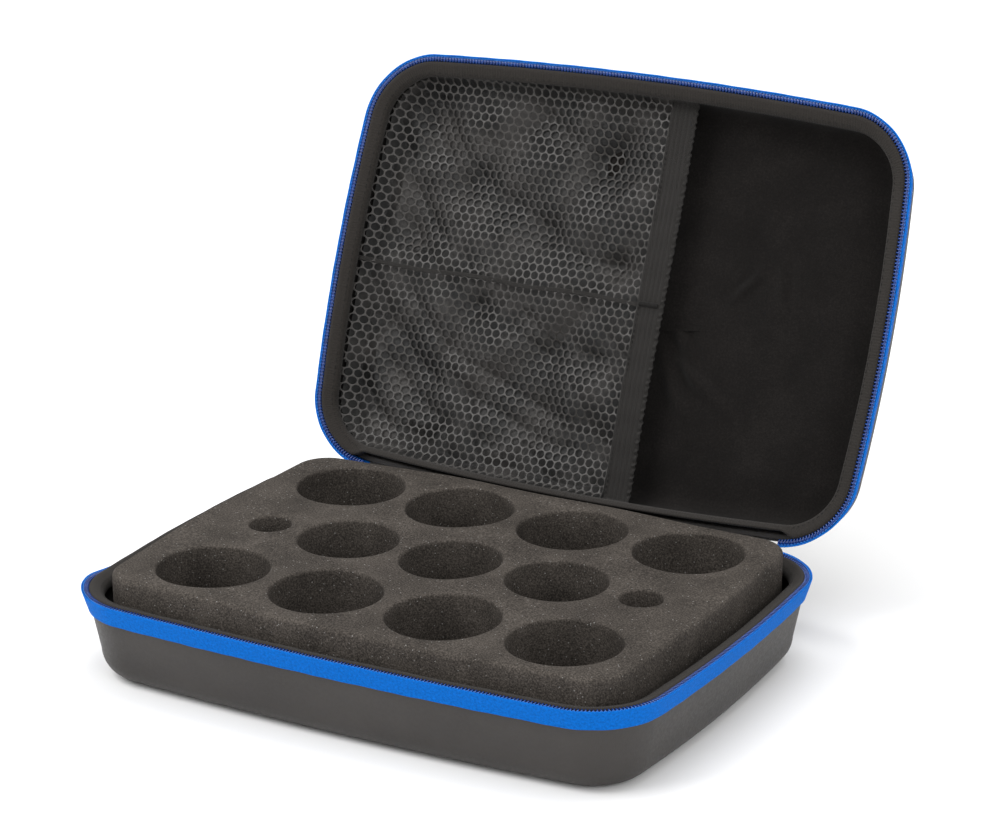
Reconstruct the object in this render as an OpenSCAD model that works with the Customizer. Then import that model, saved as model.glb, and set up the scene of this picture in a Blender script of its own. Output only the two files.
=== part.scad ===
// Hard-moulded zip-round carry case with a foam insert of round wells, standing open.
// Millimetres, +Z up. The origin is the middle of the base's resting face.

/* [Case] */
// Width of the zip's outline, measured level with the back corners
case_w = 265; // [240:1:290]
// Depth of the zip's outline, measured level with the side corners
case_d = 187; // [170:1:210]
// How far the long front and back sides bow outwards
bow_d = 4.9; // [0:0.1:8]
// How far the short sides bow outwards
bow_w = 4.7; // [0:0.1:8]
// Corner radius of the zip's outline
corner_r = 29; // [24:1:40]
// Height of the base from its resting face to the zip
base_h = 39; // [36:1:50]
// Height of the lid from the zip to its outer face
lid_h = 27; // [25:1:40]
// Thickness of the moulded shells
shell_t = 2.6; // [2:0.1:3]
// Draft of the shells' walls, in degrees
wall_draft = 11; // [6:0.5:12]
// Radius of the rounding round the shells' floors
floor_r = 12; // [10:0.5:13]

/* [Lid hinge] */
// Opening angle of the lid, from closed
lid_open = 112; // [90:1:150]
// Distance of the hinge axis behind the case's middle
hinge_y = 97.4; // [97:0.1:99]
// Depth of the hinge axis below the zip
hinge_drop = 2.4; // [2:0.1:3]

/* [Foam insert] */
// Width of the insert, level with its corners
foam_w = 236; // [220:1:236]
// Depth of the insert, level with its corners
foam_d = 166; // [160:1:168]
// Corner radius of the insert
foam_r = 13; // [10:1:20]
// Height that the insert stands above the zip
foam_proud = 9; // [4:0.5:9]
// Shift of the insert in the case, to the right
foam_shift = 1; // [-1:0.5:1]
// Shift of all the wells in the case, to the right
wells_shift = 2; // [-3:0.5:3]
// Spacing of the wells in the front and back rows
well_pitch = 55; // [52:0.5:56]
// Distance between two rows of wells
row_pitch = 54.5; // [52:0.5:56]
// Radius of the wells in the front and back rows
outer_well_r = 23.5; // [20:0.5:24]
// Spacing of the wells in the middle row
mid_pitch = 50; // [48:0.5:52]
// Radius of the wells in the middle row
mid_well_r = 21.5; // [19:0.5:22]
// Distance of the two small wells from the middle
small_well_x = 89; // [86:0.5:92]
// Radius of the small wells
small_well_r = 9; // [7:0.5:10]

/* [Lid pocket] */
// Right edge of the mesh pocket at the front of the lid
pocket_x_front = 26; // [0:1:50]
// Right edge of the mesh pocket at the hinge side
pocket_x_back = 26; // [0:1:50]
// Distance of the seam between the two pockets from the hinge side's outline
seam_y = 92; // [60:1:120]
// Depth of the mesh below the zip's plane
mesh_drop = 10.2; // [9.5:0.1:14]
// Width of the elastic band
elastic_w = 13; // [8:1:18]

/* [Hidden] */
$fn = 32;

hw = case_w / 2;
hd = case_d / 2;
hinge_z = base_h - hinge_drop;

// Steps along the outline: half of a long side, a short side, the front, and one corner
back_steps = 5;
side_steps = 8;
front_steps = 10;
corner_steps = 7;

// Insets from the zip's outline, and heights below its plane
wall_top = 6;
wall_foot = 12;
wall_in = 4.4;
rim_in = 3.1;
lining_t = 0.7;
lining_gap = 0.15;

// The closed chain at each end of the zip, and the slider on it
chain_in = 58;
chain_out = 99;
chain_wide = 5.4;
chain_thick = 2.2;
stop_len = 3.2;
slider_len = 12;
slider_wide = 7.6;
slider_thick = 4.6;
slider_rest = 66;
channel_gap = 0.3;
bridge_gap = 2.2;
bridge_t = 1.2;
bridge_len = 7.8;
bridge_wide = 1.8;
tab_pivot = 3.5;
tab_eye = 5;
tab_len = 21;
tab_wide = 4.4;
tab_t = 1.4;
tab_arm = 0.8;
tab_hole_r = 1;
slider_round_r = 6.7;

// Outline: a rounded rectangle whose four sides bow outwards, clockwise from the back's middle.
function arc_pts(cx, cy, r, from) =
    [for (i = [1 : corner_steps - 1])
        let (a = from - 90 * i / corner_steps) [cx + r * cos(a), cy + r * sin(a)]];
function line_pts(a, b, n) = [for (i = [0 : n - 1]) a + (b - a) * i / n];
function square_outline(a, b, r) = concat(
    line_pts([0, b], [a - r, b], back_steps),
    [[a - r, b]], arc_pts(a - r, b - r, r, 90),
    line_pts([a, b - r], [a, r - b], side_steps),
    [[a, r - b]], arc_pts(a - r, r - b, r, 0),
    line_pts([a - r, -b], [r - a, -b], front_steps),
    [[r - a, -b]], arc_pts(r - a, r - b, r, -90),
    line_pts([-a, r - b], [-a, b - r], side_steps),
    [[-a, b - r]], arc_pts(r - a, b - r, r, 180),
    line_pts([r - a, b], [0, b], back_steps)
);
function bowed(pts, a, b, bw, bd) =
    [for (p = pts) [p.x + bw * (1 - pow(p.y / b, 2)) * p.x / a,
                    p.y + bd * (1 - pow(p.x / a, 2)) * p.y / b]];
function outline(inset) = let (a = hw - inset, b = hd - inset)
    bowed(square_outline(a, b, max(corner_r - inset, 5)), a, b, bow_w, bow_d);

ring_n = len(outline(0));
zip_from = back_steps;
zip_to = ring_n - back_steps;

// One ring of points at an inset and a height below the zip's plane
function ring(p) = [for (q = outline(p[0])) [q.x, q.y, base_h - p[1]]];

// A closed vessel: rings chained from the outer floor over the rim to the inner floor.
module vessel(profile) {
    n = ring_n;
    m = len(profile);
    polyhedron(
        [for (p = profile) each ring(p)],
        concat(
            [[for (i = [0 : n - 1]) i]],
            [for (j = [0 : m - 2]) for (i = [0 : n - 1]) let (k = (i + 1) % n)
                [j * n + i, (j + 1) * n + i, (j + 1) * n + k, j * n + k]],
            [[for (i = [n - 1 : -1 : 0]) (m - 1) * n + i]]
        ),
        convexity = 6
    );
}

// A band that follows the outline: a closed profile swept from one point of the outline to another.
module band(profile, first, last) {
    m = len(profile);
    rings = [for (p = profile) ring(p)];
    polyhedron(
        [for (i = [first : last]) for (j = [0 : m - 1]) rings[j][i % ring_n]],
        concat(
            [[for (j = [m - 1 : -1 : 0]) j]],
            [for (i = [0 : last - first - 1]) for (j = [0 : m - 1]) let (k = (j + 1) % m)
                [i * m + j, i * m + k, (i + 1) * m + k, (i + 1) * m + j]],
            [[for (j = [0 : m - 1]) (last - first) * m + j]]
        ),
        convexity = 6
    );
}

// A whole ring, whose profile is moved inwards along the back so that the zip's ends have room.
module full_ring(profile, back_profile) {
    n = ring_n;
    m = len(profile);
    fronts = [for (p = profile) ring(p)];
    backs = [for (p = back_profile) ring(p)];
    polyhedron(
        [for (i = [0 : n - 1]) for (j = [0 : m - 1])
            i <= zip_from || i >= zip_to ? backs[j][i] : fronts[j][i]],
        [for (i = [0 : n - 1]) for (j = [0 : m - 1]) let (k = (j + 1) % m, h = (i + 1) % n)
            [i * m + j, i * m + k, h * m + k, h * m + j]],
        convexity = 6
    );
}

// Profiles as [inset, height below the zip's plane]
function floor_side(depth) = wall_in + (depth - floor_r - wall_foot) * tan(wall_draft);
function skin(depth, t) = let (r = floor_r - t, w = floor_side(depth))
    [for (a = [0 : 15 : 90]) [w + floor_r - r * cos(a), depth - floor_r + r * sin(a)]];
function rev(v) = [for (i = [len(v) - 1 : -1 : 0]) v[i]];
function shell_profile(depth) = concat(
    rev(skin(depth, 0)),
    [[wall_in, wall_foot], [wall_in - 0.2, wall_foot - 1.6], [rim_in, wall_top]],
    [[rim_in + shell_t, wall_top], [wall_in + shell_t, wall_foot]], skin(depth, shell_t)
);
function lining_profile(depth) = let (o = shell_t + lining_gap, i = o + lining_t) concat(
    rev(skin(depth, o)), [[wall_in + o, wall_foot], [rim_in + o, wall_top]],
    [[rim_in + i, wall_top], [wall_in + i, wall_foot]], skin(depth, i)
);
tape_profile = [[0, 0.3], [0.6, 0.3], [3.85, 10.1], [3.25, 10.3]];
coil_profile = [[1, 0.6], [1.5, 0.15], [2.8, 0.15], [3.4, 0.7], [3.4, 1.7], [2.9, 2.3], [2.1, 2.3], [1.5, 1.6]];
binding_profile = [[3.2, 2.6], [8.8, 3.3], [9.3, 4], [9.3, 5.1], [8.6, 5.6], [3.4, 5.2]];
back_binding_profile = [[6.8, 3.1], [8.8, 3.3], [9.3, 4], [9.3, 5.1], [8.6, 5.6], [7, 5.4]];
flap_profile = [[2.2, 6.6], [2.95, 6.6], [4.1, 10.4], [4.25, 12], [5.25, 17], [4.45, 17], [3.45, 12], [3.2, 10.4]];

// The lid is built closed, upside down on the base, and then opened about the hinge.
module opened(angle) {
    translate([0, hinge_y, hinge_z])
        rotate([-angle, 0, 0])
            translate([0, -hinge_y, -hinge_z])
                children();
}
module lid_place() {
    opened(lid_open)
        translate([0, 0, 2 * base_h])
            mirror([0, 0, 1])
                children();
}

// --- Base ---
module lower_shell() {
    color([0.29, 0.28, 0.27]) vessel(shell_profile(base_h));
}
module lower_lining() {
    color([0.1, 0.1, 0.1]) vessel(lining_profile(base_h));
}
module lower_binding() {
    color([0.22, 0.2, 0.19]) full_ring(binding_profile, back_binding_profile);
}
module lower_zip_tape() {
    color([0.05, 0.38, 0.85]) band(tape_profile, zip_from, zip_to);
}
module lower_zip_coil() {
    color([0.02, 0.2, 0.6]) band(coil_profile, zip_from, zip_to);
}
module hinge_flap_lower() {
    color([0.12, 0.12, 0.12]) band(flap_profile, ring_n - back_steps, ring_n + back_steps);
}

// --- Foam ---
foam_top = base_h + foam_proud;
foam_foot = 9.2;
foam_step = 24;
sheet_foot = 4.2;
foam_narrow = 2.2;
sheet_narrow = 8;
function foam_outline(narrow) = let (a = foam_w / 2 - narrow, b = foam_d / 2 - narrow)
    bowed(square_outline(a, b, foam_r), a, b, bow_w * 0.6, bow_d);
module foam_slab(narrow, from, to) {
    translate([foam_shift, 0, from])
        linear_extrude(to - from)
            polygon(foam_outline(narrow));
}
module row_of_wells(count, pitch, r, y) {
    for (i = [0 : count - 1])
        translate([wells_shift + (i - (count - 1) / 2) * pitch, y, foam_foot - 1])
            cylinder(r = r, h = foam_top - foam_foot + 2, $fn = 64);
}
module foam_insert() {
    color([0.25, 0.24, 0.22])
        difference() {
            union() {
                foam_slab(foam_narrow, foam_foot, foam_step);
                foam_slab(0, foam_step, foam_top);
            }
            for (side = [-1, 1])
                row_of_wells(4, well_pitch, outer_well_r, side * row_pitch);
            row_of_wells(3, mid_pitch, mid_well_r, 0);
            row_of_wells(2, 2 * small_well_x, small_well_r, 0);
        }
}
module foam_base_sheet() {
    color([0.2, 0.19, 0.18]) foam_slab(sheet_narrow, sheet_foot, foam_foot);
}

// --- Lid ---
module lid_shell() {
    color([0.29, 0.28, 0.27]) lid_place() vessel(shell_profile(lid_h));
}
module lid_lining() {
    color([0.1, 0.1, 0.1]) lid_place() vessel(lining_profile(lid_h));
}
module lid_binding() {
    color([0.22, 0.2, 0.19]) lid_place() full_ring(binding_profile, back_binding_profile);
}
module lid_zip_tape() {
    color([0.05, 0.38, 0.85]) lid_place() band(tape_profile, zip_from, zip_to);
}
module lid_zip_coil() {
    color([0.02, 0.2, 0.6]) lid_place() band(coil_profile, zip_from, zip_to);
}
module hinge_flap_upper() {
    color([0.12, 0.12, 0.12])
        lid_place() band(flap_profile, ring_n - back_steps, ring_n + back_steps);
}

// --- Pocket in the lid: two mesh panels, a seam between them and an elastic edge ---
mesh_t = 0.8;
mesh_inset = 8.6;
seam_half = 3;
panel_gap = 0.2;
seam_line = hd - seam_y;
module pocket_area(from_y, to_y) {
    intersection() {
        polygon(outline(mesh_inset));
        polygon([[-case_w, from_y], [pocket_x_front - elastic_w, from_y],
                 [pocket_x_back - elastic_w, to_y], [-case_w, to_y]]);
    }
}
module pocket_panel(from_y, to_y) {
    lid_place()
        translate([0, 0, base_h - mesh_drop - mesh_t])
            linear_extrude(mesh_t)
                pocket_area(from_y, to_y);
}
module pocket_mesh_upper() {
    color([0.08, 0.08, 0.08]) pocket_panel(-case_d, seam_line - seam_half - panel_gap);
}
module pocket_mesh_lower() {
    color([0.08, 0.08, 0.08]) pocket_panel(seam_line + seam_half + panel_gap, case_d);
}
module pocket_seam_tape() {
    color([0.1, 0.1, 0.1]) pocket_panel(seam_line - seam_half, seam_line + seam_half);
}
elastic_t = 1.4;
module pocket_elastic() {
    color([0.07, 0.07, 0.07])
        lid_place()
            translate([0, 0, base_h - mesh_drop - elastic_t])
                linear_extrude(elastic_t)
                    intersection() {
                        polygon(outline(mesh_inset));
                        polygon([[pocket_x_front - elastic_w + panel_gap, -case_d],
                                 [pocket_x_front, -case_d],
                                 [pocket_x_back, case_d],
                                 [pocket_x_back - elastic_w + panel_gap, case_d]]);
                    }
}
module pocket_elastic_tack() {
    color([0.05, 0.05, 0.05])
        lid_place()
            translate([pocket_x_front - elastic_w / 2, seam_line, base_h - mesh_drop + 0.05])
                linear_extrude(0.6)
                    square([elastic_w * 0.7, 1.6], center = true);
}

// --- Zip ends: a short closed chain on the hinge line, with a slider and its pull tab ---
module at_zip_end(side) {
    opened(lid_open / 2)
        translate([0, hinge_y, hinge_z])
            scale([side, 1, 1])
                children();
}
module bar(from, to, wide, thick) {
    translate([from, -thick / 2, -wide / 2])
        cube([to - from, thick, wide]);
}
module zip_chain(side) {
    color([0.05, 0.38, 0.85]) at_zip_end(side) bar(chain_in, chain_out, chain_wide, chain_thick);
}
module zip_stop(side) {
    color([0.5, 0.5, 0.5])
        at_zip_end(side) bar(chain_in - stop_len, chain_in, chain_wide + 0.8, chain_thick + 0.8);
}
module slider(side) {
    mid = slider_rest + slider_len / 2;
    face = slider_thick / 2;
    color([0.15, 0.15, 0.16])
        at_zip_end(side) {
            difference() {
                intersection() {
                    bar(slider_rest, slider_rest + slider_len, slider_wide, slider_thick);
                    translate([mid, 0, 0])
                        rotate([90, 0, 0])
                            cylinder(r = slider_round_r, h = slider_thick + 2, center = true, $fn = 48);
                }
                bar(slider_rest - 1, slider_rest + slider_len + 1,
                    chain_wide + 2 * channel_gap, chain_thick + 2 * channel_gap);
            }
            difference() {
                translate([mid - bridge_len / 2, face - 0.01, -bridge_wide / 2])
                    cube([bridge_len, bridge_gap + bridge_t, bridge_wide]);
                translate([mid - bridge_len / 2 + bridge_t, face - 1, -bridge_wide])
                    cube([bridge_len - 2 * bridge_t, bridge_gap + 1, 2 * bridge_wide]);
            }
        }
}
module pull_tab(side) {
    mid = slider_rest + slider_len / 2;
    color([0.12, 0.12, 0.13])
        at_zip_end(side)
            translate([mid, tab_pivot, 0]) {
                cylinder(r = tab_t / 2, h = tab_wide, center = true, $fn = 24);
                for (s = [-1, 1])
                    translate([-tab_t / 2, 0, s * (tab_wide - tab_arm) / 2 - tab_arm / 2])
                        cube([tab_t, tab_eye + 0.5, tab_arm]);
                difference() {
                    translate([-tab_t / 2, tab_eye, -tab_wide / 2])
                        cube([tab_t, tab_len - tab_eye, tab_wide]);
                    translate([0, tab_len - 4, 0])
                        rotate([0, 90, 0])
                            cylinder(r = tab_hole_r, h = 4, center = true, $fn = 24);
                }
            }
}
module zip_chain_left() { zip_chain(-1); }
module zip_chain_right() { zip_chain(1); }
module zip_stop_left() { zip_stop(-1); }
module zip_stop_right() { zip_stop(1); }
module slider_left() { slider(-1); }
module slider_right() { slider(1); }
module pull_tab_left() { pull_tab(-1); }
module pull_tab_right() { pull_tab(1); }

lower_shell();
lower_lining();
lower_binding();
lower_zip_tape();
lower_zip_coil();
foam_insert();
foam_base_sheet();
hinge_flap_lower();
lid_shell();
lid_lining();
lid_binding();
lid_zip_tape();
lid_zip_coil();
pocket_mesh_upper();
pocket_mesh_lower();
pocket_seam_tape();
pocket_elastic();
pocket_elastic_tack();
hinge_flap_upper();
zip_chain_left();
zip_chain_right();
zip_stop_left();
zip_stop_right();
slider_left();
slider_right();
pull_tab_left();
pull_tab_right();
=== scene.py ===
import math
import bmesh
import bpy
import numpy as np
from mathutils import Matrix, Vector


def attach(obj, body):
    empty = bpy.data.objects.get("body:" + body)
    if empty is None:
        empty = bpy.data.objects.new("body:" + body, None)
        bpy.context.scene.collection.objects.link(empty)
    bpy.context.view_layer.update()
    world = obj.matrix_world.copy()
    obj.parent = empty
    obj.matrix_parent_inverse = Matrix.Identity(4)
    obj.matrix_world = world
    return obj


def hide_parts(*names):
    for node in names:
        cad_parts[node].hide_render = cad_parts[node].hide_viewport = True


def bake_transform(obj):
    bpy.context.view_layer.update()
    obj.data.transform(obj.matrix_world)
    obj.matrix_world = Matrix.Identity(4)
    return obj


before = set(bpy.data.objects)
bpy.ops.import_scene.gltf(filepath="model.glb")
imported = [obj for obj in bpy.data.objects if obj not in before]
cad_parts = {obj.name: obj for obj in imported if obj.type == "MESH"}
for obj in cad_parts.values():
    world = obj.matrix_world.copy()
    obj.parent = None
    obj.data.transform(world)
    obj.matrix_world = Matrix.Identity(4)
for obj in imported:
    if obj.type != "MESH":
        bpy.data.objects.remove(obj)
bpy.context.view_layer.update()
print("frame loaded:", len(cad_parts), "nodes")

mm = 0.001  # everything is worked out in millimetres and stored in metres

case = {
    "halfWidth": 132.5,
    "halfDepth": 93.5,
    "corner": 29.0,
    "bowWidth": 4.7,
    "bowDepth": 4.9,
    "zipHeight": 39.0,
    "lidDepth": 27.0,
    "shell": 2.6,
    "draft": 11.0,
    "floorRound": 12.0,
    "wallIn": 4.4,  # inset of the moulded wall below the tape
    "wallFoot": 12.0,
    "rimIn": 3.1,
    "wallTop": 6.0,
}
hinge = {"y": 97.4, "z": 36.6, "open": 112.0}
rimLength = 4 * (case["halfWidth"] + case["halfDepth"] - 2 * case["corner"]) + 2 * math.pi * case["corner"]
zipStart = (case["halfWidth"] - case["corner"]) / rimLength  # the zip leaves the straight of the back


# the outline that every band and shell follows, clockwise from the middle of the back
def roundedBox(along, halfX, halfY, corner, nominal):
    flatX = 2 * (nominal[0] - nominal[2])
    flatY = 2 * (nominal[1] - nominal[2])
    arc = nominal[2] * math.pi / 2
    spans = np.array([flatX / 2, arc, flatY, arc, flatX, arc, flatY, arc, flatX / 2])
    edges = np.concatenate([[0], np.cumsum(spans)])
    where = (along % 1.0) * edges[-1]
    part = np.clip(np.searchsorted(edges, where, side="right") - 1, 0, 8)
    share = (where - edges[part]) / spans[part]
    inX = halfX - corner
    inY = halfY - corner
    straights = {
        0: (inX * 0, halfY, inX, halfY),
        2: (halfX, inY, halfX, -inY),
        4: (inX, -halfY, -inX, -halfY),
        6: (-halfX, -inY, -halfX, inY),
        8: (-inX, halfY, inX * 0, halfY),
    }
    corners = {1: (inX, inY, 90), 3: (inX, -inY, 0), 5: (-inX, -inY, -90), 7: (-inX, inY, 180)}
    x = np.zeros_like(where)
    y = np.zeros_like(where)
    for k, (x0, y0, x1, y1) in straights.items():
        here = part == k
        s = share[here]
        x[here] = x0[here] + (x1[here] - x0[here]) * s
        y[here] = y0[here] + (y1[here] - y0[here]) * s
    for k, (cx, cy, turn) in corners.items():
        here = part == k
        angle = np.radians(turn - 90 * share[here])
        x[here] = cx[here] + corner[here] * np.cos(angle)
        y[here] = cy[here] + corner[here] * np.sin(angle)
    return x, y


def outlineXY(along, inset, size, bow, least=5.0):
    inset = np.zeros_like(along) + inset
    halfX = size[0] - inset
    halfY = size[1] - inset
    corner = np.maximum(size[2] - inset, least)
    x, y = roundedBox(along, halfX, halfY, corner, size)
    return (
        x + bow[0] * (1 - (y / halfY) ** 2) * x / halfX,
        y + bow[1] * (1 - (x / halfX) ** 2) * y / halfY,
    )


caseSize = (case["halfWidth"], case["halfDepth"], case["corner"])
caseBow = (case["bowWidth"], case["bowDepth"])


def rimXY(along, inset):
    return outlineXY(along, inset, caseSize, caseBow)


def openLid(points, angle=hinge["open"]):
    turn = math.radians(angle)
    y = points[:, 1] - hinge["y"]
    z = points[:, 2] - hinge["z"]
    return np.column_stack([
        points[:, 0],
        hinge["y"] + y * math.cos(turn) + z * math.sin(turn),
        hinge["z"] - y * math.sin(turn) + z * math.cos(turn),
    ])


def rimPlace(along, inset, depth, lid):
    x, y = rimXY(along, inset)
    flat = np.column_stack([x, y, case["zipHeight"] + (depth if lid else -depth)])
    return openLid(flat) if lid else flat


def insetAt(x, y, size=caseSize, bow=caseBow):  # distance inside the outline
    reachX = size[0] + bow[0] * (1 - np.clip(y / size[1], -1, 1) ** 2)
    reachY = size[1] + bow[1] * (1 - np.clip(x / size[0], -1, 1) ** 2)
    qx = np.abs(x) - (reachX - size[2])
    qy = np.abs(y) - (reachY - size[2])
    outside = np.hypot(np.maximum(qx, 0), np.maximum(qy, 0))
    return size[2] - outside - np.minimum(np.maximum(qx, qy), 0)


def smooth(t):
    t = np.clip(t, 0, 1)
    return t * t * (3 - 2 * t)


# meshes
def softened(points, radius, steps=3, closed=True):  # rounds the corners of a profile
    points = [np.array(p, float) for p in points]
    out = []
    for i, p in enumerate(points):
        if not closed and i in (0, len(points) - 1):
            out.append(p)
            continue
        back = points[i - 1] - p
        ahead = points[(i + 1) % len(points)] - p
        reach = min(radius, 0.45 * np.linalg.norm(back), 0.45 * np.linalg.norm(ahead))
        a = p + back / np.linalg.norm(back) * reach
        b = p + ahead / np.linalg.norm(ahead) * reach
        for s in range(steps + 1):
            t = s / steps
            out.append((1 - t) ** 2 * a + 2 * t * (1 - t) * p + t * t * b)
    if closed:
        out.append(out[0])
    return out


def dense(points, step):  # cuts the long straights of a profile
    out = [np.array(points[0], float)]
    for p in points[1:]:
        p = np.array(p, float)
        pieces = max(1, int(math.ceil(np.linalg.norm(p - out[-1]) / step)))
        first = out[-1]
        for i in range(1, pieces + 1):
            out.append(first + (p - first) * i / pieces)
    return np.array(out)


def bentGrid(name, columns, rows, place):  # place(u, v) gives points and cloth coordinates
    bm = bmesh.new()
    bm.loops.layers.uv.new("cloth")
    bmesh.ops.create_grid(bm, x_segments=columns, y_segments=rows, size=0.5, calc_uvs=True)
    mesh = bpy.data.meshes.new(name)
    bm.to_mesh(mesh)
    bm.free()
    flat = np.empty(len(mesh.vertices) * 3)
    mesh.vertices.foreach_get("co", flat)
    u = np.rint((flat[0::3] + 0.5) * columns) / columns
    v = np.rint((flat[1::3] + 0.5) * rows) / rows
    points, cloth = place(u, v)
    mesh.vertices.foreach_set("co", (points * mm).ravel())
    corner = np.empty(len(mesh.loops), int)
    mesh.loops.foreach_get("vertex_index", corner)
    mesh.uv_layers["cloth"].data.foreach_set("uv", (cloth[corner] * mm).ravel())
    return mesh


def sew(mesh, fill=True):  # joins the ends, closes the holes and turns the faces outwards
    bm = bmesh.new()
    bm.from_mesh(mesh)
    bmesh.ops.remove_doubles(bm, verts=bm.verts, dist=2e-6)
    if fill:
        rims = [e for e in bm.edges if e.is_boundary]
        if rims:
            bmesh.ops.holes_fill(bm, edges=rims, sides=0)
    bmesh.ops.recalc_face_normals(bm, faces=bm.faces)
    bm.to_mesh(mesh)
    bm.free()
    return mesh


def sweepRim(name, profile, columns, start=0.0, stop=1.0, lid=False, shape=None):
    profile = np.array(profile, float)
    rows = len(profile) - 1
    run = np.concatenate([[0], np.cumsum(np.hypot(*np.diff(profile, axis=0).T))])

    def place(u, v):
        row = np.rint(v * rows).astype(int)
        along = start + (stop - start) * u
        inset = profile[row, 0]
        depth = profile[row, 1]
        if shape:
            inset, depth = shape(along, row, inset, depth)
        return rimPlace(along, inset, depth, lid), np.column_stack([along * rimLength, run[row]])

    return sew(bentGrid(name, columns, rows, place))


def outwards(profile):  # unit normals of a closed profile
    profile = np.array(profile)
    ring = profile[:-1]
    ahead = np.roll(ring, -1, axis=0) - np.roll(ring, 1, axis=0)
    ahead /= np.linalg.norm(ahead, axis=1)[:, None]
    following = np.roll(ring, -1, axis=0)
    area = np.sum(ring[:, 0] * following[:, 1] - following[:, 0] * ring[:, 1])
    normal = np.column_stack([ahead[:, 1], -ahead[:, 0]]) * np.sign(area)
    return np.vstack([normal, normal[:1]])


def piece(name, mesh, body, finishes, stands=()):
    made = bpy.data.objects.new(name, mesh)
    bpy.context.scene.collection.objects.link(made)
    mesh.materials.clear()
    for finish in finishes:
        mesh.materials.append(finish)
    mesh.shade_smooth()
    if body:
        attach(made, body)
    if stands:
        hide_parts(*stands)
    return made


def repeated(name, template, count, place):  # place(points, number) gives each copy's points
    bm = bmesh.new()
    for _ in range(count):
        bm.from_mesh(template)
    mesh = bpy.data.meshes.new(name)
    bm.to_mesh(mesh)
    bm.free()
    flat = np.empty(len(mesh.vertices) * 3)
    mesh.vertices.foreach_get("co", flat)
    number = np.arange(len(mesh.vertices)) // len(template.vertices)
    mesh.vertices.foreach_set("co", (place(flat.reshape(-1, 3), number) * mm).ravel())
    bpy.data.meshes.remove(template)
    return sew(mesh, fill=False)


def wire(name, path, radius, sides=6):  # a short bent thread or filament, closed at both ends
    path = [Vector(p) for p in path]
    bm = bmesh.new()
    first = bmesh.ops.create_circle(bm, cap_ends=False, radius=radius, segments=sides)["verts"]
    ring = list(first)
    edges = list(bm.edges)
    local = [v.co.copy() for v in ring]
    for i, p in enumerate(path):
        heading = (path[min(i + 1, len(path) - 1)] - path[max(i - 1, 0)]).normalized()
        turn = heading.to_track_quat("Z", "Y")
        if i:
            grown = bmesh.ops.extrude_edge_only(bm, edges=edges)["geom"]
            edges = [g for g in grown if isinstance(g, bmesh.types.BMEdge) and all(
                v in grown for v in g.verts)]
            ring = [g for g in grown if isinstance(g, bmesh.types.BMVert)]
        for v, spot in zip(ring, local):
            v.co = turn @ spot + p
    bmesh.ops.holes_fill(bm, edges=[e for e in bm.edges if e.is_boundary], sides=0)
    bmesh.ops.recalc_face_normals(bm, faces=bm.faces)
    mesh = bpy.data.meshes.new(name)
    bm.to_mesh(mesh)
    bm.free()
    return mesh


# finishes
def finishOf(name, colour, roughness, **settings):
    finish = bpy.data.materials.new(name)
    finish.use_nodes = True
    shader = finish.node_tree.nodes["Principled BSDF"]
    shader.inputs["Base Color"].default_value = (*colour, 1)
    shader.inputs["Roughness"].default_value = roughness
    for socket, value in settings.items():
        shader.inputs[socket.replace("_", " ")].default_value = value
    return finish


def node(finish, kind, **values):
    made = finish.node_tree.nodes.new(kind)
    for key, value in values.items():
        if key in made.inputs:
            made.inputs[key].default_value = value
        else:
            setattr(made, key, value)
    return made


def join(finish, output, target):
    finish.node_tree.links.new(output, target)


def placeOn(finish, cloth=False, scale=(1, 1, 1)):
    spot = node(finish, "ShaderNodeTexCoord")
    mapping = node(finish, "ShaderNodeMapping")
    mapping.inputs["Scale"].default_value = scale
    join(finish, spot.outputs["UV" if cloth else "Object"], mapping.inputs["Vector"])
    return mapping.outputs["Vector"]


def noiseOn(finish, vector, size, detail=3.0, rough=0.55):  # size in millimetres
    made = node(finish, "ShaderNodeTexNoise", Scale=1 / (size * mm), Detail=detail, Roughness=rough)
    join(finish, vector, made.inputs["Vector"])
    return made.outputs[0]


def cellsOn(finish, vector, size, feature="F1"):
    made = node(finish, "ShaderNodeTexVoronoi", Scale=1 / (size * mm), feature=feature)
    join(finish, vector, made.inputs["Vector"])
    return made.outputs["Distance"]


def sums(finish, how, a, b, clamp=False):
    made = node(finish, "ShaderNodeMath", operation=how, use_clamp=clamp)
    for socket, value in zip(made.inputs, (a, b)):
        if isinstance(value, (int, float)):
            socket.default_value = value
        elif value is not None:
            join(finish, value, socket)
    return made.outputs[0]


def spread(finish, factor, stops, to="Base Color"):
    ramp = node(finish, "ShaderNodeValToRGB")
    while len(ramp.color_ramp.elements) < len(stops):
        ramp.color_ramp.elements.new(0.5)
    for element, (position, colour) in zip(ramp.color_ramp.elements, stops):
        element.position = position
        element.color = (*colour, 1) if hasattr(colour, "__len__") else (colour,) * 3 + (1,)
    join(finish, factor, ramp.inputs["Fac"])
    if to:
        join(finish, ramp.outputs["Color"], finish.node_tree.nodes["Principled BSDF"].inputs[to])
    return ramp.outputs["Color"]


def relief(finish, *layers):  # layers of (height output, millimetres deep)
    shader = finish.node_tree.nodes["Principled BSDF"]
    below = None
    for height, deep in layers:
        bump = node(finish, "ShaderNodeBump", Strength=1.0, Distance=deep * mm)
        join(finish, height, bump.inputs["Height"])
        if below:
            join(finish, below, bump.inputs["Normal"])
        below = bump.outputs["Normal"]
    join(finish, below, shader.inputs["Normal"])


def shades(colour, *levels):  # steps of one colour for a ramp
    return [(at, tuple(c * level for c in colour)) for at, level in levels]


def wavesOn(finish, value, pitch):  # one wave every pitch millimetres
    turns = sums(finish, "MULTIPLY", value, 2 * math.pi / (pitch * mm))
    return sums(finish, "SINE", turns, None)


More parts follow.
